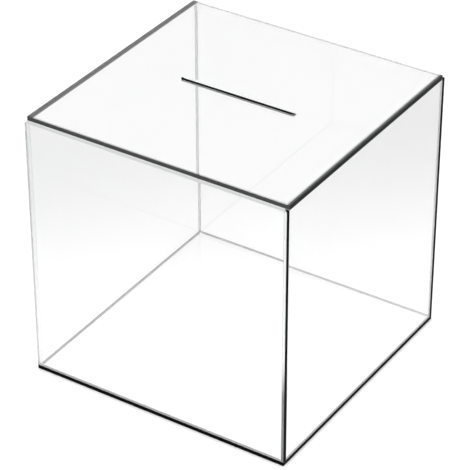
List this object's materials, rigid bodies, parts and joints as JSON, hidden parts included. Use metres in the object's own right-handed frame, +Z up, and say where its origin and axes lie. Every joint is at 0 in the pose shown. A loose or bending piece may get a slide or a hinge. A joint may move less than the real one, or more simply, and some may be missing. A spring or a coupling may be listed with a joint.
{
  "type": "money box",
  "caption": "Clear acrylic cube money box: bonded sheet walls on a flat base, and a loose sheet lid with a long slot for notes and coins, which lifts off.",
  "frame": {"origin": "middle of the underside of the base", "axes": "+Z up, the way the lid lifts; +X to the right along the slot; -Y out of the front wall"},
  "size_m": [0.2, 0.2, 0.2],
  "materials": {
    "clear_acrylic": "polished"
  },
  "bodies": {
    "box": {"base_panel": "clear_acrylic", "front_panel": "clear_acrylic", "right_panel": "clear_acrylic", "back_panel": "clear_acrylic", "left_panel": "clear_acrylic"},
    "lid": {"lid_panel": "clear_acrylic", "locator_front_left": "clear_acrylic", "locator_front_right": "clear_acrylic", "locator_back_right": "clear_acrylic", "locator_back_left": "clear_acrylic"}
  },
  "joints": [
    {"name": "lid_lift", "type": "slide", "parent": "box", "child": "lid", "axis": [0, 0, 1], "range_m": [0, 0.1]}
  ]
}
